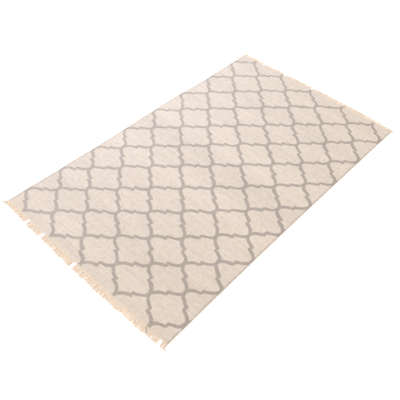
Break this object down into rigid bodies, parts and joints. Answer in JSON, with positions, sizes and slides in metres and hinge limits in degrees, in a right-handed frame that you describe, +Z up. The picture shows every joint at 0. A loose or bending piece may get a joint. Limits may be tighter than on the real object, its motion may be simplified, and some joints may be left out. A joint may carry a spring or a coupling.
{
  "type": "flatweave wool rug",
  "caption": "Flat rectangular flatweave rug with a woven quatrefoil trellis, overcast long sides and a knotted fringe at both short ends; lies flat on a floor.",
  "frame": {"origin": "centre of the underside of the woven field, on the floor that the rug lies on", "axes": "+Z up out of the rug's face, +Y along its length towards the far fringe, +X across it"},
  "size_m": [1.5573, 2.6022, 0.007],
  "materials": {
    "woven_wool": "heathered cream wool, weft-faced flat weave with a warm grey trellis, matt",
    "edge_wool": "cream wool yarn overcast side by side round a cord, matt",
    "fringe_cotton": "undyed ecru cotton warp yarn, knotted and loosely twisted, matt"
  },
  "bodies": {
    "root": {"woven_field": "woven_wool", "selvedge_left": "edge_wool", "selvedge_right": "edge_wool", "fringe_near": "fringe_cotton", "fringe_far": "fringe_cotton"}
  },
  "joints": []
}
